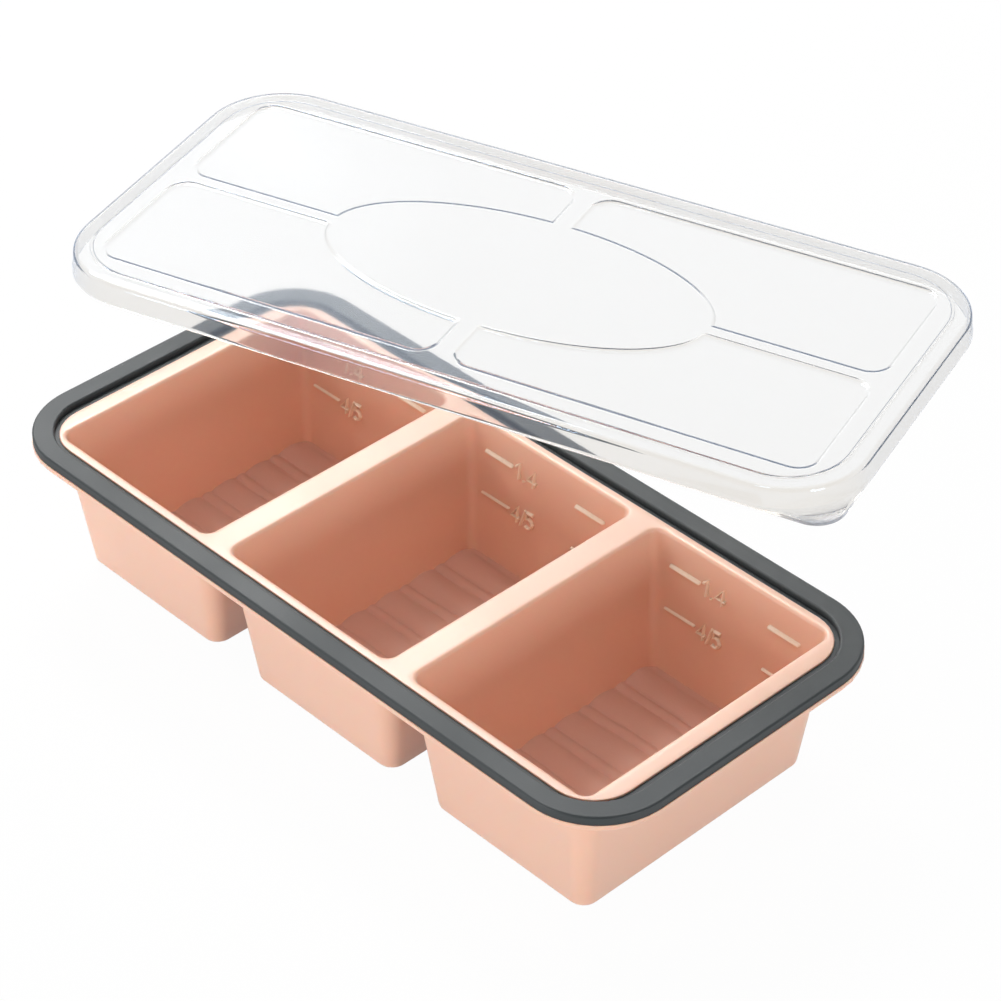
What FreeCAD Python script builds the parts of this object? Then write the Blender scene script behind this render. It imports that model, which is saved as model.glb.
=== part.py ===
"""Baby food freezer tray: silicone cups in a rigid frame, with a clear lid.

Millimetres, +Z up. X runs along the row of cups, and the origin is the centre
of the underside of the middle cup, so the tray stands on the plane Z = 0.
"""

import FreeCAD, Part
import Sketcher
import math
import os

SIZES = [
    # the row of cups
    ("cup_count", 3),
    ("cup_pitch", 92.4),
    ("mouth_length", 80.8),
    ("mouth_width", 115.4),
    ("mouth_corner", 4.0),
    ("floor_length", 67.2),
    ("floor_width", 101.4),
    ("floor_corner", 3.4),
    ("cup_wall", 2.5),
    ("floor_thickness", 1.8),
    ("mouth_round", 1.4),
    ("foot_round", 1.6),
    # the ribbed floor: broad crowned ribs with a narrow bead between each pair
    ("rib_count", 6),
    ("rib_width", 12.1),
    ("rib_rise", 1.3),
    ("bead_width", 4.4),
    ("bead_rise", 0.7),
    # the silicone deck round the cups
    ("rim_height", 56.05),
    ("end_neck", 3.8),
    ("side_neck", 0.2),
    ("neck_corner", 13.2),
    ("rim_corner", 16.5),
    ("rim_rise", 1.75),
    ("rim_round", 0.4),
    ("flange_thickness", 2.2),
    ("flange_overhang", 0.3),
    ("flange_round", 0.7),
    # the fill marks on the far wall of each cup
    ("mark_length", 14.6),
    ("mark_height", 1.1),
    ("mark_proud", 0.6),
    ("mark_root", 1.0),
    ("mark_left", -24.4),
    ("mark_right", 21.5),
    ("upper_mark_depth", 11.25),
    ("lower_mark_depth", 28.95),
    # the rigid frame
    ("frame_height", 3.3),
    ("frame_corner", 28.8),
    ("frame_edge", 0.8),
    ("end_band", 8.2),
    ("side_band", 7.6),
    ("end_groove", 3.0),
    ("side_groove", 2.1),
    ("band_corner", 21.2),
    ("tongue_thickness", 1.0),
    ("tongue_reach", 1.0),
    ("tongue_gap", 0.05),
    # the lid
    ("lid_wall", 1.1),
    ("lid_gap", 0.3),
    ("lid_height", 8.8),
    ("lid_draft", 1.0),
    ("lid_edge", 2.0),
    ("step_inset", 6.0),
    ("step_rise", 0.6),
    ("pane_inset", 14.4),
    ("pane_corner", 7.8),
    ("pane_drop", 0.6),
    ("cross_rib", 8.0),
    ("long_rib", 6.0),
    ("badge_length", 150.0),
    ("badge_width", 71.0),
    ("tab_corner", 11.0),
    ("tab_thickness", 1.4),
    # where the lid is held above the tray
    ("lid_shift_x", -33.6),
    ("lid_shift_y", 73.2),
    ("lid_lift", 53.6),
    ("lid_turn", 18.1),
]

doc = FreeCAD.newDocument("freezer_tray")
sheet = doc.addObject("Spreadsheet::Sheet", "sizes")
for line, (alias, value) in enumerate(SIZES, start=1):
    sheet.set(f"A{line}", alias)
    sheet.set(f"B{line}", str(value))
    sheet.setAlias(f"B{line}", alias)
doc.recompute()

# Lengths and heights that follow from the sizes, as expressions on the sheet.
FLANGE_TOP = "(sizes.rim_height - sizes.rim_rise)"
FLANGE_BOTTOM = f"({FLANGE_TOP} - sizes.flange_thickness)"
FRAME_TOP = f"({FLANGE_TOP} + sizes.frame_height)"
FIRST_CUP = "((1 - sizes.cup_count) * sizes.cup_pitch / 2)"
ROW_LENGTH = "((sizes.cup_count - 1) * sizes.cup_pitch)"
NECK_LENGTH = f"({ROW_LENGTH} + sizes.mouth_length + 2 * sizes.cup_wall + 2 * sizes.end_neck)"
NECK_WIDTH = "(sizes.mouth_width + 2 * sizes.cup_wall + 2 * sizes.side_neck)"
RIM_LENGTH = f"({NECK_LENGTH} + 2 * sizes.tongue_reach)"
RIM_WIDTH = f"({NECK_WIDTH} + 2 * sizes.tongue_reach)"
SHOULDER_CORNER = "(sizes.neck_corner - sizes.end_neck - sizes.side_neck)"
BAND_LENGTH = f"({RIM_LENGTH} + 2 * sizes.end_groove)"
BAND_WIDTH = f"({RIM_WIDTH} + 2 * sizes.side_groove)"
FRAME_LENGTH = f"({BAND_LENGTH} + 2 * sizes.end_band)"
FRAME_WIDTH = f"({BAND_WIDTH} + 2 * sizes.side_band)"
LID_LENGTH = f"({FRAME_LENGTH} + 2 * sizes.lid_gap + 2 * sizes.lid_wall)"
LID_WIDTH = f"({FRAME_WIDTH} + 2 * sizes.lid_gap + 2 * sizes.lid_wall)"
LID_CORNER = "(sizes.frame_corner + sizes.lid_gap + sizes.lid_wall)"
START, END, CENTRE = range(1, 4)
EDGE_REACH = 0.01


def size(expression):
    """The value of an expression on the sheet, in millimetres."""
    value = sheet.evalExpression(expression)
    return float(getattr(value, "Value", value))


def grown(expression, amount):
    """A full length or width that is larger by an amount on each side."""
    return f"({expression} + 2 * ({amount}))"


def origin_feature(body, role):
    return next(item for item in body.Origin.OriginFeatures if item.Role == role)


def new_body(name):
    return doc.addObject("PartDesign::Body", name)


def new_sketch(body, name, plane="XY_Plane", **offset):
    """A sketch on one of the body's own planes, moved by bound offsets x, y, z."""
    sketch = body.newObject("Sketcher::SketchObject", name)
    sketch.AttachmentSupport = [(origin_feature(body, plane), "")]
    sketch.MapMode = "FlatFace"
    for axis, expression in offset.items():
        sketch.setExpression(f".AttachmentOffset.Base.{axis}", expression)
    return sketch


def bind(sketch, expression, kind, *what):
    """Add a dimension to a sketch and drive it from the sheet."""
    index = sketch.addConstraint(Sketcher.Constraint(kind, *what, size(expression)))
    sketch.setExpression(f"Constraints[{index}]", expression)


def add_rounded_rectangle(sketch, length, width, corner):
    """A rectangle with round corners, centred on the sketch's origin."""
    x, y, r = size(length) / 2, size(width) / 2, size(corner)
    normal = FreeCAD.Vector(0, 0, 1)
    centres = [(x - r, y - r), (r - x, y - r), (r - x, r - y), (x - r, r - y)]
    arcs = []
    for turn, (cx, cy) in enumerate(centres):
        circle = Part.Circle(FreeCAD.Vector(cx, cy, 0), normal, r)
        arc = Part.ArcOfCircle(circle, turn * math.pi / 2, (turn + 1) * math.pi / 2)
        arcs.append(sketch.addGeometry(arc))
    runs = [((x - r, y), (r - x, y)), ((-x, y - r), (-x, r - y)),
            ((r - x, -y), (x - r, -y)), ((x, r - y), (x, y - r))]
    lines = []
    for first, last in runs:
        segment = Part.LineSegment(FreeCAD.Vector(*first, 0), FreeCAD.Vector(*last, 0))
        lines.append(sketch.addGeometry(segment))
    for k, line in enumerate(lines):
        after = arcs[(k + 1) % 4]
        level = "Vertical" if k % 2 else "Horizontal"
        sketch.addConstraint(Sketcher.Constraint("Tangent", arcs[k], END, line, START))
        sketch.addConstraint(Sketcher.Constraint("Tangent", line, END, after, START))
        sketch.addConstraint(Sketcher.Constraint(level, line))
    for arc in arcs[1:]:
        sketch.addConstraint(Sketcher.Constraint("Equal", arcs[0], arc))
    sketch.addConstraint(
        Sketcher.Constraint("Symmetric", arcs[0], CENTRE, arcs[2], CENTRE, -1, 1))
    bind(sketch, corner, "Radius", arcs[0])
    bind(sketch, length, "DistanceX", lines[1], START, lines[3], START)
    bind(sketch, width, "DistanceY", lines[2], START, lines[0], START)


def outline(body, name, length, width, corner, plane="XY_Plane", **offset):
    """A sketch that holds one rounded rectangle."""
    sketch = new_sketch(body, name, plane, **offset)
    add_rounded_rectangle(sketch, length, width, corner)
    return sketch


def pad(body, name, sketch, length, down=False):
    feature = body.newObject("PartDesign::Pad", name)
    feature.Profile = sketch
    feature.setExpression("Length", length)
    feature.Reversed = down
    return feature


def pad_both_ways(body, name, sketch, length):
    feature = pad(body, name, sketch, length)
    feature.SideType = "Symmetric"
    return feature


def pocket(body, name, sketch, length, up=False):
    feature = body.newObject("PartDesign::Pocket", name)
    feature.Profile = sketch
    feature.setExpression("Length", length)
    feature.Reversed = up
    return feature


def loft(body, name, low, high, cut=False):
    kind = "PartDesign::SubtractiveLoft" if cut else "PartDesign::AdditiveLoft"
    feature = body.newObject(kind, name)
    feature.Profile = low
    feature.Sections = [high]
    feature.Ruled = True
    return feature


def row(body, name, feature, axis, extent, count):
    """Repeat a feature in a row along one of the body's axes."""
    pattern = body.newObject("PartDesign::LinearPattern", name)
    pattern.Originals = [feature]
    pattern.Direction = (origin_feature(body, axis), [""])
    pattern.setExpression("Length", extent)
    pattern.setExpression("Occurrences", count)
    body.Tip = pattern
    return pattern


def grid(body, name, feature, extent_x, count_x, extent_y, count_y):
    """Repeat a feature in a grid along the body's X and Y axes."""
    pattern = row(body, name, feature, "X_Axis", extent_x, count_x)
    pattern.Direction2 = (origin_feature(body, "Y_Axis"), [""])
    pattern.setExpression("Length2", extent_y)
    pattern.setExpression("Occurrences2", count_y)
    return pattern


def round_edges(body, name, radius, chosen):
    """Fillet the edges of the body's last feature that the rule chooses."""
    doc.recompute()
    last = body.Tip
    names = [f"Edge{i}" for i, edge in enumerate(last.Shape.Edges, start=1) if chosen(edge)]
    fillet = body.newObject("PartDesign::Fillet", name)
    fillet.Base = (last, names)
    fillet.setExpression("Radius", radius)
    body.Tip = fillet
    return fillet


def faces(feature, chosen):
    """The names of a feature's faces that the rule chooses."""
    return [f"Face{i}" for i, face in enumerate(feature.Shape.Faces, start=1) if chosen(face)]


def flat_at(edge, height):
    """Whether an edge lies at one height."""
    box = edge.BoundBox
    low, high = height - EDGE_REACH, height + EDGE_REACH
    return low < box.ZMin and box.ZMax < high


def on_outline(edge, length, width):
    """Whether an edge reaches a length or a width about the origin."""
    box = edge.BoundBox
    end = abs(max(-box.XMin, box.XMax) - length / 2) < EDGE_REACH
    side = abs(max(-box.YMin, box.YMax) - width / 2) < EDGE_REACH
    return end or side


def wall_at(height):
    """Half the inside width of a cup at a height, as an expression."""
    slope = "(sizes.mouth_width - sizes.floor_width) / (sizes.rim_height - sizes.floor_thickness)"
    return f"((sizes.floor_width + ({height} - sizes.floor_thickness) * {slope}) / 2)"


def silicone_tray():
    """The one silicone moulding: flange, rim, cups, ribbed floors, fill marks."""
    body = new_body("silicone_tray")
    overhang = "sizes.flange_overhang"
    flange = outline(
        body, "flange_outline", grown(FRAME_LENGTH, overhang), grown(FRAME_WIDTH, overhang),
        f"sizes.frame_corner + {overhang}", z=FLANGE_BOTTOM)
    pad(body, "flange", flange, "sizes.flange_thickness")

    # a neck under the rim takes the frame's tongue
    neck_height = "(sizes.tongue_thickness + sizes.tongue_gap)"
    neck = outline(body, "neck_outline", NECK_LENGTH, NECK_WIDTH, "sizes.neck_corner", z=FLANGE_TOP)
    pad(body, "neck", neck, neck_height)
    rim = outline(body, "rim_outline", RIM_LENGTH, RIM_WIDTH, "sizes.rim_corner",
                  z=f"{FLANGE_TOP} + {neck_height}")
    pad(body, "rim", rim, f"sizes.rim_rise - {neck_height}")

    # the outsides of the cups, then their insides
    wall = "sizes.cup_wall"
    foot = outline(
        body, "foot_outline", grown("sizes.floor_length", wall), grown("sizes.floor_width", wall),
        f"sizes.floor_corner + {wall}", x=FIRST_CUP)
    shoulder = outline(
        body, "shoulder_outline", grown("sizes.mouth_length", wall),
        grown("sizes.mouth_width", wall), SHOULDER_CORNER,
        x=FIRST_CUP, z="sizes.rim_height")
    cup = loft(body, "cup", foot, shoulder)
    row(body, "cups", cup, "X_Axis", ROW_LENGTH, "sizes.cup_count")
    cup_floor = outline(body, "floor_outline", "sizes.floor_length", "sizes.floor_width",
                        "sizes.floor_corner", x=FIRST_CUP, z="sizes.floor_thickness")
    mouth = outline(body, "mouth_outline", "sizes.mouth_length", "sizes.mouth_width",
                    "sizes.mouth_corner", x=FIRST_CUP, z="sizes.rim_height")
    hollow = loft(body, "hollow", cup_floor, mouth, cut=True)
    row(body, "hollows", hollow, "X_Axis", ROW_LENGTH, "sizes.cup_count")

    rim_top, flange_bottom = size("sizes.rim_height"), size(FLANGE_BOTTOM)
    rim_length, rim_width = size(RIM_LENGTH), size(RIM_WIDTH)
    flange_length, flange_width = size(grown(FRAME_LENGTH, overhang)), size(grown(FRAME_WIDTH, overhang))
    round_edges(body, "mouth_rounds", "sizes.mouth_round",
                lambda e: flat_at(e, rim_top) and not on_outline(e, rim_length, rim_width))
    round_edges(body, "rim_rounds", "sizes.rim_round",
                lambda e: flat_at(e, rim_top) and on_outline(e, rim_length, rim_width))
    round_edges(body, "foot_rounds", "sizes.foot_round", lambda e: flat_at(e, 0))
    round_edges(body, "flange_rounds", "sizes.flange_round",
                lambda e: flat_at(e, flange_bottom) and on_outline(e, flange_length, flange_width))

    # crowned ribs across the floor, and the beads between them
    rib_pitch = "(sizes.floor_width / sizes.rib_count)"
    across = "sizes.floor_length + sizes.cup_wall"
    rib_row = f"({rib_pitch} * (sizes.rib_count - 1))"
    bead_row = f"({rib_pitch} * (sizes.rib_count - 2))"
    crowns = [("rib", rib_row, "sizes.rib_count", "sizes.rib_width", "sizes.rib_rise"),
              ("bead", bead_row, "sizes.rib_count - 1", "sizes.bead_width", "sizes.bead_rise")]
    for name, extent, count, width, rise in crowns:
        profile = new_sketch(body, f"{name}_profile", "YZ_Plane", x=f"-{extent} / 2",
                             y="sizes.floor_thickness", z=FIRST_CUP)
        add_crown(profile, width, rise)
        crown = pad_both_ways(body, name, profile, across)
        grid(body, f"{name}s", crown, ROW_LENGTH, "sizes.cup_count", extent, count)

    # two bars for each fill mark, with a space for the number between them
    for level in ("upper", "lower"):
        height = f"(sizes.rim_height - sizes.{level}_mark_depth)"
        for side in ("left", "right"):
            name = f"{level}_{side}_mark"
            bar = outline(body, f"{name}_outline", "sizes.mark_length", "sizes.mark_height",
                          "0.45 * sizes.mark_height", "XZ_Plane",
                          x=f"{FIRST_CUP} + sizes.mark_{side}", y=height,
                          z=f"-({wall_at(height)} + sizes.mark_root)")
            mark = pad(body, name, bar, "sizes.mark_root + sizes.mark_proud")
            marks = row(body, f"{name}s", mark, "X_Axis", ROW_LENGTH, "sizes.cup_count")
            mark.Refine = marks.Refine = False
    return body


def add_crown(sketch, width, rise):
    """A low arch on a short base that sinks into the floor."""
    half, top = size(width) / 2, size(rise)
    base = size("sizes.floor_thickness") / 3
    left, right = FreeCAD.Vector(-half, 0, 0), FreeCAD.Vector(half, 0, 0)
    foot_left, foot_right = FreeCAD.Vector(-half, -base, 0), FreeCAD.Vector(half, -base, 0)
    arch = sketch.addGeometry(Part.Arc(right, FreeCAD.Vector(0, top, 0), left))
    side_left = sketch.addGeometry(Part.LineSegment(left, foot_left))
    bottom = sketch.addGeometry(Part.LineSegment(foot_left, foot_right))
    side_right = sketch.addGeometry(Part.LineSegment(foot_right, right))
    loop = [arch, side_left, bottom, side_right]
    for here, after in zip(loop, loop[1:] + loop[:1]):
        sketch.addConstraint(Sketcher.Constraint("Coincident", here, END, after, START))
    sketch.addConstraint(Sketcher.Constraint("Horizontal", bottom))
    sketch.addConstraint(Sketcher.Constraint("Vertical", side_left))
    sketch.addConstraint(Sketcher.Constraint("Vertical", side_right))
    sketch.addConstraint(Sketcher.Constraint("Symmetric", arch, START, arch, END, -1, 1))
    sketch.addConstraint(Sketcher.Constraint("PointOnObject", arch, END, -1))
    bind(sketch, width, "DistanceX", side_left, START, side_right, END)
    bind(sketch, "sizes.floor_thickness / 3", "DistanceY", bottom, START, side_left, START)
    bind(sketch, f"({width} ^ 2 / 4 + {rise} ^ 2) / (2 * {rise})", "Radius", arch)


def rigid_frame():
    """The stiff plastic band round the rim, with a tongue into the silicone."""
    body = new_body("rigid_frame")
    tongue = new_sketch(body, "tongue_outline", z=FLANGE_TOP)
    add_rounded_rectangle(tongue, FRAME_LENGTH, FRAME_WIDTH, "sizes.frame_corner")
    add_rounded_rectangle(
        tongue, grown(NECK_LENGTH, "sizes.tongue_gap"), grown(NECK_WIDTH, "sizes.tongue_gap"),
        "sizes.neck_corner + sizes.tongue_gap")
    pad(body, "tongue", tongue, "sizes.tongue_thickness")
    band = new_sketch(body, "band_outline", z=f"{FLANGE_TOP} + sizes.tongue_thickness")
    add_rounded_rectangle(band, FRAME_LENGTH, FRAME_WIDTH, "sizes.frame_corner")
    add_rounded_rectangle(band, BAND_LENGTH, BAND_WIDTH, "sizes.band_corner")
    pad(body, "band", band, "sizes.frame_height - sizes.tongue_thickness")
    top = size(FRAME_TOP)
    round_edges(body, "band_rounds", "sizes.frame_edge", lambda e: flat_at(e, top))
    return body


def clear_lid():
    """A thin clear lid: skirt, stepped top with four sunk panes, and a lift tab."""
    body = new_body("clear_lid")
    wall, draft = "sizes.lid_wall", "sizes.lid_draft"
    top_outline = outline(body, "top_outline", LID_LENGTH, LID_WIDTH, LID_CORNER)
    block = pad(body, "block", top_outline, "sizes.lid_height", down=True)
    doc.recompute()
    skirt = body.newObject("PartDesign::Draft", "skirt")
    skirt.Base = (block, faces(block, lambda face: abs(face.normalAt(0, 0).z) < 0.5))
    skirt.NeutralPlane = (origin_feature(body, "XY_Plane"), [""])
    skirt.setExpression("Angle", f"atan({draft} / sizes.lid_height)")
    body.Tip = skirt
    rounded = round_edges(body, "skirt_rounds", "sizes.lid_edge", lambda e: flat_at(e, 0))
    doc.recompute()
    underside = -size("sizes.lid_height") / 2
    shell = body.newObject("PartDesign::Thickness", "shell")
    shell.Base = (rounded, faces(rounded, lambda face: face.BoundBox.ZMax < underside))
    shell.setExpression("Value", wall)
    shell.Reversed = True
    body.Tip = shell

    # the stepped-up top inside the seat on the frame
    step_length = grown(LID_LENGTH, "-sizes.step_inset")
    step_width = grown(LID_WIDTH, "-sizes.step_inset")
    step_corner = f"({LID_CORNER} - sizes.step_inset)"
    step = outline(body, "step_outline", step_length, step_width, step_corner)
    pad(body, "step", step, "sizes.step_rise")
    step_hollow = outline(
        body, "step_hollow_outline", grown(step_length, f"-{wall}"),
        grown(step_width, f"-{wall}"), f"{step_corner} - {wall}", z=f"-{wall}")
    pocket(body, "step_hollow", step_hollow, "sizes.step_rise", up=True)

    # four sunk panes, parted by a cross of ribs
    top = "sizes.step_rise"
    ceiling = f"({top} - {wall})"
    pane_length = f"((({LID_LENGTH}) - sizes.cross_rib) / 2 - sizes.pane_inset)"
    pane_width = f"((({LID_WIDTH}) - sizes.long_rib) / 2 - sizes.pane_inset)"
    pitch_x, pitch_y = f"({pane_length} + sizes.cross_rib)", f"({pane_width} + sizes.long_rib)"
    back = outline(body, "pane_back_outline", grown(pane_length, wall), grown(pane_width, wall),
                   f"sizes.pane_corner + {wall}", x=f"-{pitch_x} / 2", y=f"-{pitch_y} / 2",
                   z=ceiling)
    pane_back = pad(body, "pane_back", back, "sizes.pane_drop", down=True)
    grid(body, "pane_backs", pane_back, pitch_x, "2", pitch_y, "2")
    pane = outline(body, "pane_outline", pane_length, pane_width, "sizes.pane_corner",
                   x=f"-{pitch_x} / 2", y=f"-{pitch_y} / 2", z=top)
    sunk = pocket(body, "pane", pane, "sizes.pane_drop")
    grid(body, "panes", sunk, pitch_x, "2", pitch_y, "2")

    # the plain oval in the middle stands level with the ribs
    badge = new_sketch(body, "badge_outline", z=f"{top} - sizes.pane_drop")
    add_ellipse(badge, "sizes.badge_length", "sizes.badge_width")
    pad(body, "badge", badge, "sizes.pane_drop")
    under = new_sketch(body, "badge_hollow_outline", z=f"{ceiling} - sizes.pane_drop")
    add_ellipse(under, f"sizes.badge_length - 2 * {wall}", f"sizes.badge_width - 2 * {wall}")
    pocket(body, "badge_hollow", under, "sizes.pane_drop", up=True)

    tab = new_sketch(body, "tab_outline", x=f"({LID_LENGTH}) / 2 + {draft}",
                     y=f"-({LID_WIDTH}) / 2 - {draft}", z="-sizes.lid_height")
    add_corner_fill(tab, f"{LID_CORNER} + {draft}", "sizes.tab_corner", f"{wall} / 2")
    pad(body, "lift_tab", tab, "sizes.tab_thickness")

    turned = FreeCAD.Rotation(FreeCAD.Vector(0, 0, 1), size("sizes.lid_turn"))
    body.Placement = FreeCAD.Placement(FreeCAD.Vector(), turned)
    body.setExpression(".Placement.Base.x", "sizes.lid_shift_x")
    body.setExpression(".Placement.Base.y", "sizes.lid_shift_y")
    body.setExpression(".Placement.Base.z", f"{FRAME_TOP} + {wall} + sizes.lid_lift")
    body.setExpression(".Placement.Rotation.Angle", "sizes.lid_turn")
    return body


def add_ellipse(sketch, length, width):
    """An ellipse about the sketch's origin, with its long axis along X."""
    a, b = size(length) / 2, size(width) / 2
    zero, tip, side = FreeCAD.Vector(), FreeCAD.Vector(a, 0, 0), FreeCAD.Vector(0, b, 0)
    oval = sketch.addGeometry(Part.Ellipse(tip, side, zero))
    sketch.exposeInternalGeometry(oval)
    major, minor = oval + 1, oval + 2
    sketch.addConstraint(Sketcher.Constraint("Coincident", oval, CENTRE, -1, 1))
    sketch.addConstraint(Sketcher.Constraint("Horizontal", major))
    bind(sketch, length, "Distance", major)
    bind(sketch, width, "Distance", minor)


def add_corner_fill(sketch, corner, tip_corner, overlap):
    """The space between a large and a small round of one corner, at +X and -Y."""
    r, s, g = size(corner), size(tip_corner), size(overlap)
    v = FreeCAD.Vector
    normal = v(0, 0, 1)
    tip = Part.ArcOfCircle(Part.Circle(v(-s, s, 0), normal, s), 1.5 * math.pi, 2 * math.pi)
    back = Part.ArcOfCircle(Part.Circle(v(-r, r, 0), normal, r - g), 1.5 * math.pi, 2 * math.pi)
    tip_arc = sketch.addGeometry(tip)
    back_arc = sketch.addGeometry(back)
    runs = [(v(-r, g, 0), v(-r, 0, 0)), (v(-r, 0, 0), v(-s, 0, 0)),
            (v(0, s, 0), v(0, r, 0)), (v(0, r, 0), v(-g, r, 0))]
    low_step, low, side, side_step = [sketch.addGeometry(Part.LineSegment(*run)) for run in runs]
    joins = [(low_step, END, low, START), (side, END, side_step, START),
             (back_arc, START, low_step, START), (back_arc, END, side_step, END)]
    for join in joins:
        sketch.addConstraint(Sketcher.Constraint("Coincident", *join))
    sketch.addConstraint(Sketcher.Constraint("Tangent", low, END, tip_arc, START))
    sketch.addConstraint(Sketcher.Constraint("Tangent", tip_arc, END, side, START))
    sketch.addConstraint(Sketcher.Constraint("PointOnObject", low, END, -1))
    sketch.addConstraint(Sketcher.Constraint("PointOnObject", side, START, -2))
    sketch.addConstraint(Sketcher.Constraint("Horizontal", low))
    sketch.addConstraint(Sketcher.Constraint("Vertical", side))
    sketch.addConstraint(Sketcher.Constraint("Vertical", low_step))
    sketch.addConstraint(Sketcher.Constraint("Horizontal", side_step))
    bind(sketch, tip_corner, "Radius", tip_arc)
    bind(sketch, f"{corner} - ({overlap})", "Radius", back_arc)
    bind(sketch, corner, "DistanceX", back_arc, CENTRE, -1, 1)
    bind(sketch, corner, "DistanceY", -1, 1, back_arc, CENTRE)
    bind(sketch, corner, "DistanceX", low, START, -1, 1)
    bind(sketch, corner, "DistanceY", -1, 1, side, END)


pieces = [silicone_tray(), rigid_frame(), clear_lid()]
doc.recompute()

for item in doc.Objects:
    if "Invalid" in item.State or "Error" in item.State:
        raise RuntimeError(f"{item.Name} did not rebuild: {item.State}")
for piece in pieces:
    if piece.Shape.isNull() or not piece.Shape.isValid():
        raise RuntimeError(f"{piece.Label} has no sound shape")
    if len(piece.Shape.Solids) != 1:
        raise RuntimeError(f"{piece.Label} is in {len(piece.Shape.Solids)} solids")

os.makedirs("parts", exist_ok=True)
for piece in pieces:
    piece.Shape.exportStep(f"parts/{piece.Label}.step")
    box = piece.Shape.BoundBox
    print(f"{piece.Label}: {piece.Shape.Volume / 1000:.1f} cm3,"
          f" {box.XLength:.1f} x {box.YLength:.1f} x {box.ZLength:.1f} mm,"
          f" Z {box.ZMin:.2f} to {box.ZMax:.2f}")
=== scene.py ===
import math
import bmesh
import bpy
import numpy as np
from mathutils import Matrix, Vector
from mathutils.geometry import delaunay_2d_cdt


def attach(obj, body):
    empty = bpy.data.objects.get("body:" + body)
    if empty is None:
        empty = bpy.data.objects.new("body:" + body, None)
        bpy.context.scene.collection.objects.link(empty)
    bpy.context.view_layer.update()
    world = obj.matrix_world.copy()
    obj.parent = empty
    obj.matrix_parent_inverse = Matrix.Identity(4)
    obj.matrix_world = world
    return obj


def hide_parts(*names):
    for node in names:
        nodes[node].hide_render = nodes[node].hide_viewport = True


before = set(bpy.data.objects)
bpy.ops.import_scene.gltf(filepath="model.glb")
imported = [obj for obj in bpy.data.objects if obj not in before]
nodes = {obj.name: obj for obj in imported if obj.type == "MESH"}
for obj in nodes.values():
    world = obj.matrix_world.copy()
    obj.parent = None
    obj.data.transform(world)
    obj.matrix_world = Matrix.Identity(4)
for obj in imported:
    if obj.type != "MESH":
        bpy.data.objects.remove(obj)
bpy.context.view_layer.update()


# ---- The table top, the light round it and the camera ----
# A plain pale sheet under the tray, soft boxes above its back left side and its
# front, and two low ones near the table, all inside a white light tent with a darker
# opening.
scene = bpy.context.scene
scene.view_settings.view_transform = "Standard"

camera_place = Vector((0.6744, -0.6135, 0.7720))
camera_azimuth, camera_elevation, camera_roll = (math.radians(a) for a in (46.21, 37.64, -0.09))
lens_width = 36.0
lens_reach = 3.3551 * lens_width
camera_data = bpy.data.cameras.new("camera")
camera_data.sensor_width = lens_width
camera_data.lens = lens_reach
camera = bpy.data.objects.new("camera", camera_data)
scene.collection.objects.link(camera)
camera.location = camera_place
camera.rotation_euler = (
    Matrix.Rotation(camera_azimuth, 3, "Z")
    @ Matrix.Rotation(math.pi / 2 - camera_elevation, 3, "X")
    @ Matrix.Rotation(camera_roll, 3, "Z")).to_euler()
scene.camera = camera

table_mesh = bpy.data.meshes.new("table_top")
table_reach = 6.0
table_drop = -0.0003
table_corners = ((-1, -1), (1, -1), (1, 1), (-1, 1))
table_mesh.from_pydata(
    [(x * table_reach, y * table_reach, table_drop) for x, y in table_corners],
    [], [(0, 1, 2, 3)])
table_top = bpy.data.objects.new("table_top", table_mesh)
scene.collection.objects.link(table_top)


def ray_mask(tree, *rays):
    """A mask that is 1 for a ray of any of the kinds named."""
    path = tree.nodes.new("ShaderNodeLightPath")
    mask = path.outputs[rays[0]]
    for ray in rays[1:]:
        either = tree.nodes.new("ShaderNodeMath")
        either.operation = "MAXIMUM"
        tree.links.new(mask, either.inputs[0])
        tree.links.new(path.outputs[ray], either.inputs[1])
        mask = either.outputs[0]
    return mask


# The paper and the tent look white to the eye, in a mirror and through the lid.
# The small rest of the paper's own shade keeps the tray's shadow.
direct_rays = ("Is Camera Ray", "Is Glossy Ray", "Is Transmission Ray")
white_share = 0.97
table_paper = bpy.data.materials.new("table_paper")
table_paper.use_nodes = True
tree = table_paper.node_tree
tree.nodes.clear()
paper = tree.nodes.new("ShaderNodeBsdfDiffuse")
paper.inputs["Color"].default_value = (0.82, 0.82, 0.82, 1)
glow = tree.nodes.new("ShaderNodeEmission")
glow.inputs["Color"].default_value = (1, 1, 1, 1)
glow.inputs["Strength"].default_value = 1.0
blend = tree.nodes.new("ShaderNodeMixShader")
share = tree.nodes.new("ShaderNodeMath")
share.operation = "MULTIPLY"
share.inputs[1].default_value = white_share
surface = tree.nodes.new("ShaderNodeOutputMaterial")
tree.links.new(ray_mask(tree, *direct_rays), share.inputs[0])
tree.links.new(share.outputs[0], blend.inputs["Fac"])
tree.links.new(paper.outputs[0], blend.inputs[1])
tree.links.new(glow.outputs[0], blend.inputs[2])
tree.links.new(blend.outputs[0], surface.inputs["Surface"])
table_mesh.materials.append(table_paper)

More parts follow.
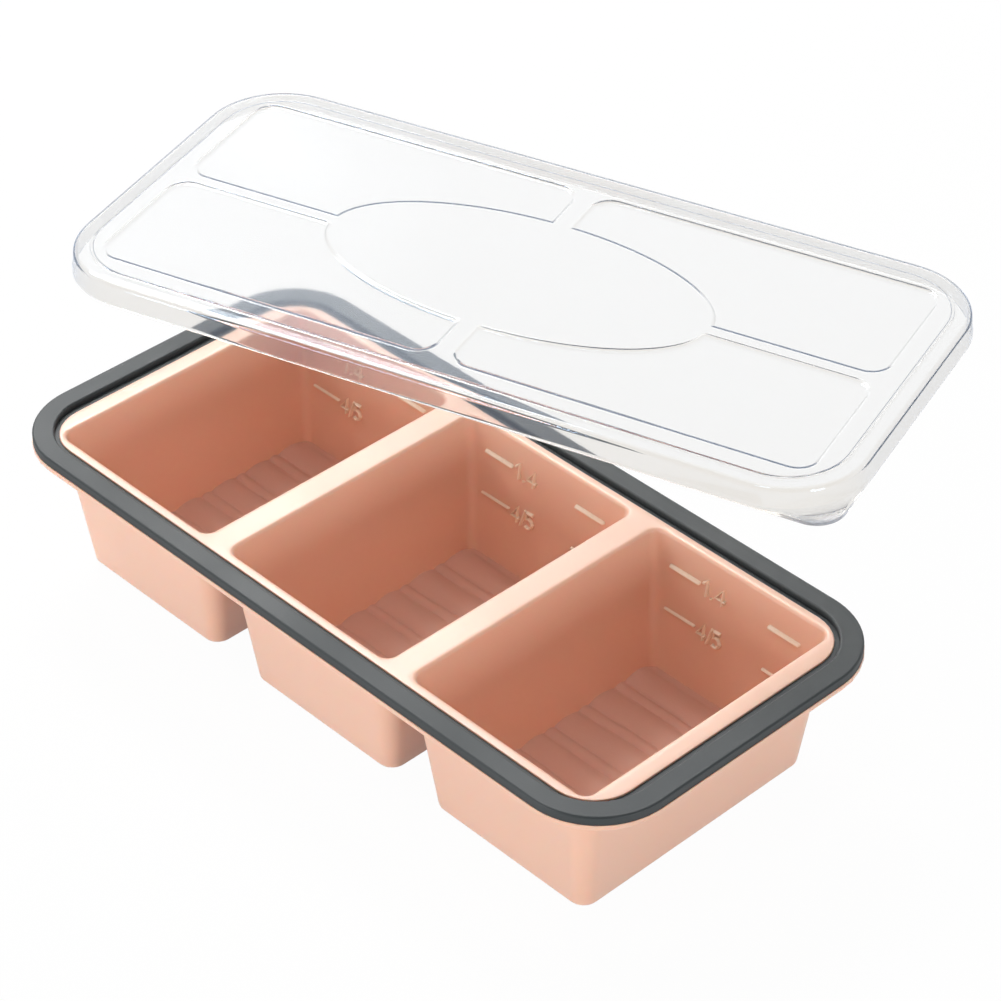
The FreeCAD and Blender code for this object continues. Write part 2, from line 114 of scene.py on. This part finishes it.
# The tent is open on one side, where the room behind it is dark.
tent_opening = (0.564, -0.513, 0.646)
tent = bpy.data.worlds.new("light_tent")
tent.use_nodes = True
scene.world = tent
tree = tent.node_tree
tree.nodes.clear()
direction = tree.nodes.new("ShaderNodeTexCoord")
heading = tree.nodes.new("ShaderNodeVectorMath")
heading.operation = "DOT_PRODUCT"
heading.inputs[1].default_value = tent_opening
backdrop = tree.nodes.new("ShaderNodeMapRange")
backdrop.interpolation_type = "SMOOTHSTEP"
backdrop.inputs["From Min"].default_value = 0.20
backdrop.inputs["From Max"].default_value = 0.65
backdrop.inputs["To Min"].default_value = 1.0
backdrop.inputs["To Max"].default_value = 0.06
light = tree.nodes.new("ShaderNodeBackground")
light.inputs["Color"].default_value = (1, 1, 1, 1)
light.inputs["Strength"].default_value = 0.27
white = tree.nodes.new("ShaderNodeBackground")
white.inputs["Color"].default_value = (1, 1, 1, 1)
blend = tree.nodes.new("ShaderNodeMixShader")
surface = tree.nodes.new("ShaderNodeOutputWorld")
tree.links.new(ray_mask(tree, *direct_rays), blend.inputs["Fac"])
tree.links.new(direction.outputs["Generated"], heading.inputs[0])
tree.links.new(heading.outputs["Value"], backdrop.inputs["Value"])
tree.links.new(backdrop.outputs["Result"], white.inputs["Strength"])
tree.links.new(light.outputs[0], blend.inputs[1])
tree.links.new(white.outputs[0], blend.inputs[2])
tree.links.new(blend.outputs[0], surface.inputs["Surface"])

# Each lamp's place, width and power in metres and watts, turned towards the tray.
lamps = {
    "back_softbox": ((-0.85, 0.45, 1.10), 0.40, 11.0),
    "back_panel": ((-0.90, 0.85, 1.00), 1.30, 6.0),
    "left_softbox": ((-1.00, -0.15, 1.05), 0.20, 3.2),
    "front_softbox": ((-0.20, -1.40, 0.18), 0.36, 8.5),
    "right_softbox": ((1.30, -0.10, 0.18), 0.36, 5.5),
    "top_softbox": ((0.15, -0.55, 1.40), 0.30, 3.0),
}
for name, (place, width, power) in lamps.items():
    lamp_data = bpy.data.lights.new(name, "AREA")
    lamp_data.shape = "SQUARE"
    lamp_data.size = width
    lamp_data.energy = power
    lamp = bpy.data.objects.new(name, lamp_data)
    lamp.location = place
    lamp.rotation_euler = Vector(place).to_track_quat("Z", "Y").to_euler()
    scene.collection.objects.link(lamp)


# ---- The silicone tray ----
# One soft peach moulding: deep cups with ribbed floors, the deck and rim round
# their mouths, and the thin flange that the frame lies on. Every wall is of one
# thickness and bows out a little, as silicone does.
mm = 0.001
cup_centres = (-92.4, 0.0, 92.4)
cell_half = 46.2
mouth_half, floor_half = (40.4, 57.7), (33.6, 50.7)
mouth_corner, floor_corner = 4.0, 3.4
shoulder_corner, foot_corner = 9.2, 5.9
cup_wall, floor_level, rim_level = 2.5, 1.8, 56.05
mouth_round, foot_round, root_round, rim_round = 1.4, 1.6, 1.2, 0.4
wall_bow, wall_foot = 0.3, 2.2
rib_count, rib_rise, rib_reach = 6, 1.5, 6.2
bead_rise, bead_reach, bead_clearance = 0.95, 2.4, 4.0
long_sway, short_sway, rib_unevenness = 0.45, 0.2, 0.10
rim_half, rim_corner = (140.1, 61.4), 16.5
neck_half, neck_corner, neck_level = (139.1, 60.4), 13.2, 55.35
flange_half, flange_corner = (151.6, 71.4), 29.1
flange_level, flange_bottom, flange_round = 54.3, 52.1, 0.7
tray_cells = (4, 28, 136)
cell_corner = 6.0


def ring(low, high, corners, square=(), bow=0.0, cells=tray_cells):
    """Points round a rectangle with round corners, from the middle of its +X -Y corner.

    The corners in square keep their points on the two straight sides. The cells are
    the counts in half a corner, along X and along Y."""
    spots = [(high[0], low[1]), high, (low[0], high[1]), low]
    rows = []
    for k, head in enumerate(((0, 1), (-1, 0), (0, -1), (1, 0))):
        head = np.array(head, float)
        out = np.array((head[1], -head[0]))
        here, there = k, (k + 1) % 4
        first, last = np.array(spots[here]), np.array(spots[there])
        turn = np.linspace(0, 1, cells[0] + 1)[:, None]
        if here in square:
            lead = first + head * corners[here] * turn
        else:
            a = (turn - 1) * math.pi / 4
            lead = first + corners[here] * (head - out + np.cos(a) * out + np.sin(a) * head)
        if there in square:
            tail = last - head * corners[there] * (1 - turn)
        else:
            a = turn * math.pi / 4
            tail = last + corners[there] * (-head - out + np.cos(a) * out + np.sin(a) * head)
        step = np.linspace(0, 1, cells[1 if k % 2 else 2] + 1)[:, None]
        straight = lead[-1] + (tail[0] - lead[-1]) * step
        straight = straight + out * bow * (1 - (2 * step - 1) ** 2)
        rows.append(np.vstack((lead[:-1], straight, tail[1:-1])))
    return np.vstack(rows)


side_counts = [2 * tray_cells[0] + n for n in tray_cells[2:0:-1] * 2]
side_starts = np.concatenate(([0], np.cumsum(side_counts)))


def patch(loop):
    """A grid of points that fills a ring, as rows along Y of points along X."""
    s = side_starts
    closed = np.vstack((loop, loop[:1]))
    right = closed[s[0]:s[1] + 1]
    top = closed[s[1]:s[2] + 1][::-1]
    left = closed[s[2]:s[3] + 1][::-1]
    bottom = closed[s[3]:s[4] + 1]
    u = np.linspace(0, 1, len(bottom))[None, :, None]
    v = np.linspace(0, 1, len(right))[:, None, None]
    across = (1 - v) * bottom[None] + v * top[None]
    along = (1 - u) * left[:, None] + u * right[:, None]
    ends = (1 - v) * ((1 - u) * bottom[0] + u * bottom[-1]) + v * ((1 - u) * top[0] + u * top[-1])
    return across + along - ends


class Skin:
    """Points and faces of one moulding, gathered ring by ring."""

    def __init__(self):
        self.points, self.faces, self.floor_faces, self.count = [], [], [], 0

    def add(self, flat, height):
        points = np.column_stack((flat, np.broadcast_to(height, len(flat))))
        self.points.append(points)
        self.count += len(points)
        return np.arange(self.count - len(points), self.count)

    def strip(self, one, two):
        quads = np.column_stack((one, np.roll(one, -1), np.roll(two, -1), two))
        self.faces.extend(quads.tolist())

    def rings(self, rows):
        """Joins (ring, height) rows one to the next, and gives back the last one's numbers."""
        before = None
        for flat, height in rows:
            here = self.add(flat, height)
            if before is not None:
                self.strip(before, here)
            before = here
        return before

    def fill(self, loop, height_at, floor=False):
        grid = patch(loop)
        tall, wide = grid.shape[:2]
        flat = grid.reshape(-1, 2)
        index = self.add(flat, height_at(flat)).reshape(tall, wide)
        quads = np.stack((index[:-1, :-1], index[:-1, 1:], index[1:, 1:], index[1:, :-1]), -1)
        quads = quads.reshape(-1, 4).tolist()
        if floor:
            self.floor_faces.extend(range(len(self.faces), len(self.faces) + len(quads)))
        self.faces.extend(quads)

    def mesh(self, name, sharp_angle):
        """The closed mesh in metres, with its seams joined and its sharp edges kept."""
        data = bpy.data.meshes.new(name)
        data.from_pydata((np.vstack(self.points) * mm).tolist(), [], self.faces)
        # the cup floors take the second material, whose darker tone is painted shade
        finish = np.zeros(len(self.faces), int)
        finish[self.floor_faces] = 1
        data.polygons.foreach_set("material_index", finish)
        skin = bmesh.new()
        skin.from_mesh(data)
        bmesh.ops.remove_doubles(skin, verts=skin.verts, dist=2e-6)
        bmesh.ops.dissolve_degenerate(skin, edges=skin.edges, dist=1e-7)
        bmesh.ops.recalc_face_normals(skin, faces=skin.faces)
        skin.to_mesh(data)
        skin.free()
        data.shade_smooth()
        data.set_sharp_from_angle(angle=math.radians(sharp_angle))
        return data


def cup_ring(centre, height, grow, inner):
    """The ring of a cup's inner or outer wall at a height, grown by a distance."""
    share = (height - floor_level) / (rim_level - floor_level) if inner else height / rim_level
    half = [low + (high - low) * share + grow + (0 if inner else cup_wall)
            for low, high in zip(floor_half, mouth_half)]
    low_corner, high_corner = (
        (floor_corner, mouth_corner) if inner else (foot_corner, shoulder_corner))
    corner = low_corner + (high_corner - low_corner) * share + grow
    bow = wall_bow * math.sin(math.pi * min(max(height / rim_level, 0), 1))
    return ring((centre - half[0], -half[1]), (centre + half[0], half[1]), (corner,) * 4, bow=bow)


def cell_ring(i):
    """The ring round one cup's share of the deck, out to the rim or to its neighbour's share."""
    low = [cup_centres[i] - cell_half, -rim_half[1] + rim_round]
    high = [cup_centres[i] + cell_half, rim_half[1] - rim_round]
    corners, square = [cell_corner] * 4, {0, 1, 2, 3}
    if i == 0:
        low[0] = -rim_half[0] + rim_round
        corners[2] = corners[3] = rim_corner - rim_round
        square -= {2, 3}
    if i == 2:
        high[0] = rim_half[0] - rim_round
        corners[0] = corners[1] = rim_corner - rim_round
        square -= {0, 1}
    return ring(tuple(low), tuple(high), corners, square)


def moved(points, half, corner):
    """Moves points of the rim's outline to another outline, and what lies inside in step."""
    old_half = np.array(rim_half) - rim_round
    old_start = old_half - (rim_corner - rim_round)
    new_half = np.array(half)
    new_start = new_half - corner
    size, sign = np.abs(points), np.sign(points)
    past = size - old_start
    on_arc = (past > 1e-6).all(axis=1)
    turned = new_start + past * corner / (rim_corner - rim_round)
    on_edge = np.abs(size - old_half) < 1e-6
    plain = np.where(on_edge, new_half, size * new_start / old_start)
    inside = ~on_edge.any(axis=1) & ~on_arc
    plain[inside] = (size * new_half / old_half)[inside]
    return sign * np.where(on_arc[:, None], turned, plain)


def floor_height(cup, flat):
    """The ribbed floor: broad crowned ribs with a narrow bead between, none quite alike."""
    x, y = flat[:, 0] - cup_centres[cup], flat[:, 1]
    rib_pitch = 2 * floor_half[1] / rib_count
    long_wave = long_sway * np.sin(0.062 * x + 1.3 * cup + 0.11 * y)
    short_wave = short_sway * np.sin(0.17 * x - 0.07 * y + cup)
    y = y + long_wave + short_wave
    from_rib = (y / rib_pitch) % 1 - 0.5
    from_bead = (y / rib_pitch + 0.5) % 1 - 0.5
    lift = 1 + rib_unevenness * np.sin(0.09 * x + 0.31 * y + 2.1 * cup)
    rib = rib_rise * lift * (1 - (from_rib * rib_pitch / rib_reach) ** 2)
    bead = bead_rise * (1 - (from_bead * rib_pitch / bead_reach) ** 2)
    bead[np.abs(y) > floor_half[1] - bead_clearance] = 0
    rise = np.maximum(np.maximum(rib, bead), 0)
    return floor_level + rise


tray = Skin()
quarter = np.linspace(0, math.pi / 2, 5)
wall_levels = np.linspace(0, 1, 16)[1:]
cells = [cell_ring(i) for i in range(3)]
for i, centre in enumerate(cup_centres):
    inside = [(cells[i], rim_level)]
    lip = cup_ring(centre, rim_level - mouth_round, mouth_round, True)
    inside += [(cells[i] + (lip - cells[i]) * t, rim_level) for t in (0.3, 0.7)]
    top = rim_level - mouth_round
    for a in quarter:
        height = rim_level - mouth_round * (1 - math.cos(a))
        inside.append((cup_ring(centre, top, mouth_round * (1 - math.sin(a)), True), height))
    base = cup_ring(centre, floor_level, 0, True)
    base_height = floor_height(i, base)
    for t in wall_levels[:-1]:
        height = top + (floor_level + wall_foot - top) * t
        inside.append((cup_ring(centre, height, 0, True), height))
    inside.append((base, base_height))
    tray.rings(inside)
    tray.fill(base, lambda flat, i=i: floor_height(i, flat), floor=True)

    under = moved(cells[i], [h - flange_round for h in flange_half], flange_corner - flange_round)
    top = flange_bottom - root_round
    collar = cup_ring(centre, top, root_round, False)
    outside = [(under, flange_bottom)]
    outside += [(under + (collar - under) * t, flange_bottom) for t in (0.4, 0.8)]
    for a in quarter:
        height = flange_bottom - root_round * (1 - math.cos(a))
        outside.append((cup_ring(centre, top, root_round * (1 - math.sin(a)), False), height))
    for t in wall_levels[:-1]:
        height = top + (foot_round - top) * t
        outside.append((cup_ring(centre, height, 0, False), height))
    for a in quarter:
        height = foot_round * (1 - math.sin(a))
        outside.append((cup_ring(centre, height, -foot_round * (1 - math.cos(a)), False), height))
    tray.rings(outside)
    tray.fill(outside[-1][0], lambda flat: np.zeros(len(flat)))

# the rim, the neck under it and the flange run round all the cups together
outer_runs = [(2, 0), (2, 1), (1, 1), (0, 1), (0, 2), (0, 3), (1, 3), (2, 3)]
rim_line = np.vstack([cells[i][side_starts[k]:side_starts[k + 1]] for i, k in outer_runs])
edge = [(rim_line, rim_level)]
for a in quarter[1:]:
    grow = rim_round * math.sin(a)
    half = [h - rim_round + grow for h in rim_half]
    edge.append((moved(rim_line, half, rim_corner - rim_round + grow),
                 rim_level - rim_round * (1 - math.cos(a))))
edge.append((moved(rim_line, rim_half, rim_corner), neck_level))
edge.append((moved(rim_line, neck_half, neck_corner), neck_level))
edge.append((moved(rim_line, neck_half, neck_corner), flange_level))
edge.append((moved(rim_line, flange_half, flange_corner), flange_level))
for a in quarter:
    shrink = flange_round * (1 - math.cos(a))
    edge.append((moved(rim_line, [h - shrink for h in flange_half], flange_corner - shrink),
                 flange_bottom + flange_round * (1 - math.sin(a))))
tray.rings(edge)

silicone_tray = bpy.data.objects.new("silicone_moulding", tray.mesh("silicone_moulding", 32))
scene.collection.objects.link(silicone_tray)
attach(silicone_tray, "tray")
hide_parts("silicone_tray")


# the fine grain and the broad mottle that the mould leaves on every moulding
grain = bpy.data.node_groups.new("mould_grain", "ShaderNodeTree")
for name, kind, start in (("Size", "NodeSocketFloat", 900.0), ("Mottle", "NodeSocketFloat", 30.0)):
    socket = grain.interface.new_socket(name, in_out="INPUT", socket_type=kind)
    socket.default_value = start
for name in ("Fine", "Broad"):
    grain.interface.new_socket(name, in_out="OUTPUT", socket_type="NodeSocketFloat")
given = grain.nodes.new("NodeGroupInput")
result = grain.nodes.new("NodeGroupOutput")
place = grain.nodes.new("ShaderNodeTexCoord")
fine = grain.nodes.new("ShaderNodeTexNoise")
fine.inputs["Detail"].default_value = 3.0
fine.inputs["Roughness"].default_value = 0.6
broad = grain.nodes.new("ShaderNodeTexNoise")
broad.inputs["Detail"].default_value = 2.0
for noise, scale, out in ((fine, "Size", "Fine"), (broad, "Mottle", "Broad")):
    grain.links.new(place.outputs["Object"], noise.inputs["Vector"])
    grain.links.new(given.outputs[scale], noise.inputs["Scale"])
    grain.links.new(noise.outputs["Fac"], result.inputs[out])


def finish_of(name, light_tone, dark_tone, grain_size, mottle_size, roughness, bump):
    """A moulded finish: two close tones, uneven roughness and a fine grained skin."""
    material = bpy.data.materials.new(name)
    material.use_nodes = True
    tree = material.node_tree
    skin = tree.nodes["Principled BSDF"]
    texture = tree.nodes.new("ShaderNodeGroup")
    texture.node_tree = grain
    texture.inputs["Size"].default_value = grain_size
    texture.inputs["Mottle"].default_value = mottle_size
    tone = tree.nodes.new("ShaderNodeMix")
    tone.data_type = "RGBA"
    tone.inputs["A"].default_value = (*dark_tone, 1)
    tone.inputs["B"].default_value = (*light_tone, 1)
    gloss = tree.nodes.new("ShaderNodeMapRange")
    gloss.inputs["From Min"].default_value = 0.3
    gloss.inputs["From Max"].default_value = 0.7
    gloss.inputs["To Min"].default_value, gloss.inputs["To Max"].default_value = roughness
    relief = tree.nodes.new("ShaderNodeBump")
    relief.inputs["Strength"].default_value = 1.0
    relief.inputs["Distance"].default_value = bump
    tree.links.new(texture.outputs["Broad"], tone.inputs["Factor"])
    tree.links.new(tone.outputs["Result"], skin.inputs["Base Color"])
    tree.links.new(texture.outputs["Broad"], gloss.inputs["Value"])
    tree.links.new(gloss.outputs["Result"], skin.inputs["Roughness"])
    tree.links.new(texture.outputs["Fine"], relief.inputs["Height"])
    tree.links.new(relief.outputs["Normal"], skin.inputs["Normal"])
    return material, skin


smooth_silicone, skin = finish_of(
    "smooth_silicone", (0.88, 0.54, 0.39), (0.86, 0.51, 0.365),
    grain_size=1500, mottle_size=25, roughness=(0.36, 0.46), bump=0.00002)
skin.inputs["Subsurface Weight"].default_value = 0.50
skin.inputs["Subsurface Radius"].default_value = (1.0, 0.45, 0.25)
skin.inputs["Subsurface Scale"].default_value = 0.0010
skin.inputs["Specular IOR Level"].default_value = 1.0
skin.inputs["Sheen Weight"].default_value = 0.45
skin.inputs["Sheen Roughness"].default_value = 0.40
silicone_tray.data.materials.append(smooth_silicone)
# the cup floors: a rougher, more grained silicone, with a darker tone that is painted shade at the
# bottom of the deep cups
ribbed_silicone_painted_shade, skin = finish_of(
    "ribbed_silicone_painted_shade", (0.74, 0.43, 0.335), (0.70, 0.40, 0.31),
    grain_size=1100, mottle_size=40, roughness=(0.50, 0.62), bump=0.00004)
skin.inputs["Subsurface Weight"].default_value = 0.25
skin.inputs["Subsurface Radius"].default_value = (1.0, 0.45, 0.25)
skin.inputs["Subsurface Scale"].default_value = 0.0015
silicone_tray.data.materials.append(ribbed_silicone_painted_shade)


# ---- The fill marks ----
# Raised bars on the far wall of each cup, moulded with it in the same silicone,
# each pair with its number after the left one, in plain figures of one stroke width.
# They are given a paler tone than the wall as a painted highlight, for the light they catch.

# each mark's level, and its bars' height and how far they stand out
mark_levels = {"1.4": (44.8, 1.3, 1.3), "4/5": (27.1, 0.9, 0.9)}
bar_places, bar_length, bar_lean = (-24.4, 21.5), 14.6, 0.5
figure_left, figure_height, figure_drop = -15.8, 6.3, 0.3
stroke_radius, stroke_proud = 0.60, 1.15
# the strokes of each number, in shares of a figure's height
figure_strokes = {
    "1.4": (((0.0, 0.72), (0.28, 1.0), (0.28, 0.0)),
            ((0.66, 0.0), (0.66, 0.05)),
            ((1.46, 0.0), (1.46, 1.0), (0.96, 0.30), (1.68, 0.30))),
    "4/5": (((0.46, 0.0), (0.46, 1.0), (0.0, 0.30), (0.64, 0.30)),
            ((0.76, -0.05), (1.06, 1.05)),
            ((1.66, 1.0), (1.24, 1.0), (1.20, 0.56), (1.36, 0.64), (1.56, 0.58), (1.68, 0.36),
             (1.58, 0.10), (1.38, 0.0), (1.16, 0.10))),
}
wall_lean = math.atan((mouth_half[1] - floor_half[1]) / (rim_level - floor_level))


def wall_frame(cup, x, height):
    """The place and directions on a cup's far wall: along it, up it and out of it."""
    share = (height - floor_level) / (rim_level - floor_level)
    run = (mouth_half[0] - mouth_corner) * 0.95
    bow = wall_bow * math.sin(math.pi * height / rim_level) * (1 - (x / run) ** 2)
    y = floor_half[1] + (mouth_half[1] - floor_half[1]) * share + bow
    along = Vector((1, 0, 0))
    up = Vector((0, math.sin(wall_lean), math.cos(wall_lean)))
    axes = Matrix((along, up, along.cross(up))).transposed().to_4x4()
    return Matrix.Translation(Vector((cup_centres[cup] + x, y, height)) * mm) @ axes


figure_meshes = {}
for text, strokes in figure_strokes.items():
    line = bpy.data.curves.new("figures", "CURVE")
    line.dimensions = "3D"
    line.bevel_depth = stroke_radius * mm
    line.bevel_resolution = 3
    line.use_fill_caps = True
    for stroke in strokes:
        spline = line.splines.new("POLY")
        spline.points.add(len(stroke) - 1)
        for point, (x, y) in zip(spline.points, stroke):
            point.co = (x * figure_height * mm, (y - 0.5) * figure_height * mm, 0, 1)
    holder = bpy.data.objects.new("figures", line)
    scene.collection.objects.link(holder)
    bpy.context.view_layer.update()
    view = bpy.context.evaluated_depsgraph_get()
    shape = bpy.data.meshes.new_from_object(holder.evaluated_get(view))
    bpy.data.objects.remove(holder)
    shape.transform(Matrix.Diagonal((1, 1, stroke_proud / stroke_radius, 1)))
    figure_meshes[text] = shape


def bar_mesh(height, proud):
    """A low bar with round ends: a ball whose two halves are drawn apart along the wall.

    It is laid out point by point, so that its faces come in the same order each time."""
    around, down, seam = 20, 12, 1e-9
    radius, reach = height / 2 * mm, (bar_length - height) / 2 * mm
    points = [(0, 0, radius), (0, 0, -radius)]
    for i in range(1, down):
        slant = math.pi * i / down
        for k in range(around):
            turn = 2 * math.pi * k / around
            points.append((radius * math.sin(slant) * math.cos(turn),
                           radius * math.sin(slant) * math.sin(turn),
                           radius * math.cos(slant)))
    points = [(x + (reach if x > seam else -reach), y - bar_lean * z, z * 2 * proud / height)
              for x, y, z in points]
    faces = []
    for k in range(around):
        here, after = 2 + k, 2 + (k + 1) % around
        bottom = (down - 2) * around
        faces.append((0, here, after))
        faces += [(here + row, here + row + around, after + row + around, after + row)
                  for row in range(0, bottom, around)]
        faces.append((here + bottom, 1, after + bottom))
    shape = bpy.data.meshes.new("bar")
    shape.from_pydata(points, [], faces)
    return shape


marks = bmesh.new()
for cup in range(3):
    for text, (height, bar_height, bar_proud) in mark_levels.items():
        figure = figure_meshes[text].copy()
        figure.transform(wall_frame(cup, figure_left, height - figure_drop))
        marks.from_mesh(figure)
        for place in bar_places:
            bar = bar_mesh(bar_height, bar_proud)
            bar.transform(wall_frame(cup, place, height))
            marks.from_mesh(bar)
marks_data = bpy.data.meshes.new("fill_marks")
marks.to_mesh(marks_data)
marks.free()
marks_data.shade_smooth()
marks_data.set_sharp_from_angle(angle=math.radians(40))
fill_marks = bpy.data.objects.new("fill_marks", marks_data)
scene.collection.objects.link(fill_marks)
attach(fill_marks, "tray")
# the marks' paler tone is a painted highlight on their raised strokes
mark_silicone_painted_highlight, skin = finish_of(
    "mark_silicone_painted_highlight", (0.97, 0.77, 0.60), (0.96, 0.75, 0.57),
    grain_size=1500, mottle_size=25, roughness=(0.35, 0.45), bump=0.00002)
skin.inputs["Specular IOR Level"].default_value = 0.80
marks_data.materials.append(mark_silicone_painted_highlight)


# ---- The rigid frame ----
# A stiff slate grey ring of moulded plastic round the rim, with a fine matt
# grain, lying on the silicone flange.
slate, skin = finish_of(
    "slate_plastic", (0.029, 0.036, 0.039), (0.024, 0.030, 0.033),
    grain_size=1400, mottle_size=18, roughness=(0.50, 0.60), bump=0.00003)
rigid_frame = nodes["rigid_frame"]
rigid_frame.data.materials.clear()
rigid_frame.data.materials.append(slate)


# ---- The clear lid ----
# One thin moulding of clear glossy plastic with a skirt that goes round the frame,
# a stepped top, four sunk panes round a plain oval, and a lift tab at one corner.
# It is loose, and here it is held raised and turned above the tray.
clear, skin = finish_of(
    "clear_plastic", (0.925, 0.90, 0.855), (0.915, 0.89, 0.845),
    grain_size=400, mottle_size=12, roughness=(0.03, 0.06), bump=0.000004)
skin.inputs["Transmission Weight"].default_value = 0.98
skin.inputs["IOR"].default_value = 1.45
skin.inputs["Specular Tint"].default_value = (0.58, 0.76, 1.0, 1)
skin.inputs["Sheen Weight"].default_value = 0.28
skin.inputs["Sheen Roughness"].default_value = 0.60
skin.inputs["Sheen Tint"].default_value = (0.42, 0.60, 0.95, 1)
tree = clear.node_tree
let_through = tree.nodes.new("ShaderNodeBsdfTransparent")
let_through.inputs["Color"].default_value = (0.94, 0.94, 0.94, 1)
sheet = tree.nodes.new("ShaderNodeMixShader")
depth = tree.nodes.new("ShaderNodeVolumeAbsorption")
depth.inputs["Color"].default_value = (0.24, 0.26, 0.28, 1)
depth.inputs["Density"].default_value = 55.0
tree.links.new(ray_mask(tree, "Is Shadow Ray", "Is Diffuse Ray"), sheet.inputs["Fac"])
tree.links.new(skin.outputs[0], sheet.inputs[1])
tree.links.new(let_through.outputs[0], sheet.inputs[2])
tree.links.new(sheet.outputs[0], tree.nodes["Material Output"].inputs["Surface"])
tree.links.new(depth.outputs[0], tree.nodes["Material Output"].inputs["Volume"])

lid_half, lid_corner, lid_wall = np.array((152.7, 72.5)), 30.2, 1.1
lid_height, lid_draft, lid_round = 8.8, 1.0, 2.0
step_inset, step_rise, sheet_inset = 6.0, 0.6, 9.0
pane_half, pane_middle, pane_corner = np.array((67.15, 27.55)), (71.15, 30.55), 7.8
pane_drop, pane_slope = 0.6, 0.8
oval_half = np.array((75.0, 35.5))
tab_corner, tab_thickness, tab_ledge = 11.0, 1.4, 0.05
foot_inset, foot_bevel, foot_bevel_height = 0.02, 0.10, 0.15
lid_place, lid_turn = Vector((-33.6, 73.2, 112.3)) * mm, math.radians(18.1)
lid_cells = (10, 60, 24)
pane_cells = (6, 24, 12)


def lid_ring(grow, tab=False):
    """The lid's outline grown by a distance, with or without the lift tab's corner."""
    corners = [tab_corner if tab else lid_corner + grow] + [lid_corner + grow] * 3
    return ring(-lid_half - grow, lid_half + grow, corners, cells=lid_cells)


def pane_ring(middle, grow):
    """The outline of a sunk pane grown by a distance, with the oval's share cut away."""
    half, oval = pane_half + grow, oval_half - grow
    whole = ring(middle - half, middle + half, (pane_corner + grow,) * 4, cells=pane_cells)
    level = ((whole / oval) ** 2).sum(1) - 1
    last_covered = np.flatnonzero((level < 0) & (np.roll(level, -1) >= 0))[0]
    whole, level = (np.roll(a, -last_covered - 1, axis=0) for a in (whole, level))
    bare = whole[level >= 0]
    ends = []
    for k in (len(bare) - 1, -1):
        share = level[k] / (level[k] - level[k + 1])
        ends.append((whole[k] + (whole[k + 1] - whole[k]) * share) / oval)
    turn = np.linspace(*(math.atan2(y, x) for x, y in ends), 50)
    return np.vstack((bare, oval * np.column_stack((np.cos(turn), np.sin(turn)))))


slope_rows = np.array((1.25, 1, 0.6, 0.2, -0.2, -0.6, -1, -1.25))
lid = Skin()
sheet_edge = lid_ring(-sheet_inset)
sheet_points, sheet_heights, sheet_lines = [sheet_edge], [np.full(len(sheet_edge), step_rise)], []
for side in ((-1, -1), (1, -1), (1, 1), (-1, 1)):
    for grow in slope_rows * pane_slope:
        loop = pane_ring(np.array(pane_middle) * side, grow)
        sunk = min(max((pane_slope - grow) / (2 * pane_slope), 0), 1)
        sunk = sunk * sunk * (3 - 2 * sunk)
        start = sum(len(p) for p in sheet_points)
        numbers = np.arange(start, start + len(loop))
        sheet_lines += np.column_stack((numbers, np.roll(numbers, -1))).tolist()
        sheet_points.append(loop)
        sheet_heights.append(np.full(len(loop), step_rise - pane_drop * sunk))
sheet_flat, sheet_heights = np.vstack(sheet_points), np.concatenate(sheet_heights)
numbers = np.arange(len(sheet_edge))
sheet_lines += np.column_stack((numbers, np.roll(numbers, -1))).tolist()
flat_out, _, triangles, origins, _, _ = delaunay_2d_cdt(
    [Vector(p) for p in sheet_flat.tolist()], sheet_lines, [], 0, 1e-5, True)
flat_out = np.array([tuple(p) for p in flat_out])
heights_out = sheet_heights[[source[0] for source in origins]]

# how far each row of the step's slope stands inward, and its share of the rise
step_run = ((0.35, 1), (0.25, 1), (0.05, 0.85), (0, 0.5), (-0.05, 0.15), (-0.25, 0), (-0.35, 0))
arc, seat_margin = np.linspace(math.pi / 2, 0, 7), 0.15
arc_middle = lid_draft * lid_round / lid_height - lid_round
outer = [(lid_ring(-sheet_inset), step_rise)]
outer += [(lid_ring(-step_inset - run), step_rise * rise) for run, rise in step_run]
outer += [(lid_ring(arc_middle - seat_margin), 0)]
outer += [(lid_ring(arc_middle + lid_round * math.cos(a)), lid_round * (math.sin(a) - 1))
          for a in arc]
tab_top = tab_thickness - lid_height
skirt_at_tab = -lid_draft * tab_top / lid_height
outer += [(lid_ring(skirt_at_tab), tab_top),
          (lid_ring(skirt_at_tab + tab_ledge, True), tab_top),
          (lid_ring(lid_draft - foot_inset, True), foot_bevel_height - lid_height),
          (lid_ring(lid_draft - foot_inset - foot_bevel, True), -lid_height),
          (lid_ring(lid_draft - lid_wall), -lid_height)]
inner_round = lid_round - lid_wall
outer += [(lid_ring(arc_middle + inner_round * math.cos(a)), inner_round * math.sin(a) - lid_round)
          for a in arc[::-1]]
outer += [(lid_ring(-step_inset - lid_wall - run), step_rise * rise - lid_wall)
          for run, rise in step_run[::-1]]
outer += [(lid_ring(-sheet_inset), step_rise - lid_wall)]
lid.rings(outer)
for drop in (0, lid_wall):
    index = lid.add(flat_out, heights_out - drop)
    lid.faces.extend(index[np.array(triangles)].tolist())
lid_data = lid.mesh("clear_sheet", 50)
lid_data.transform(Matrix.Translation(lid_place) @ Matrix.Rotation(lid_turn, 4, "Z"))
lid_data.materials.append(clear)
clear_sheet = bpy.data.objects.new("clear_sheet", lid_data)
scene.collection.objects.link(clear_sheet)
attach(clear_sheet, "lid")
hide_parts("clear_lid")
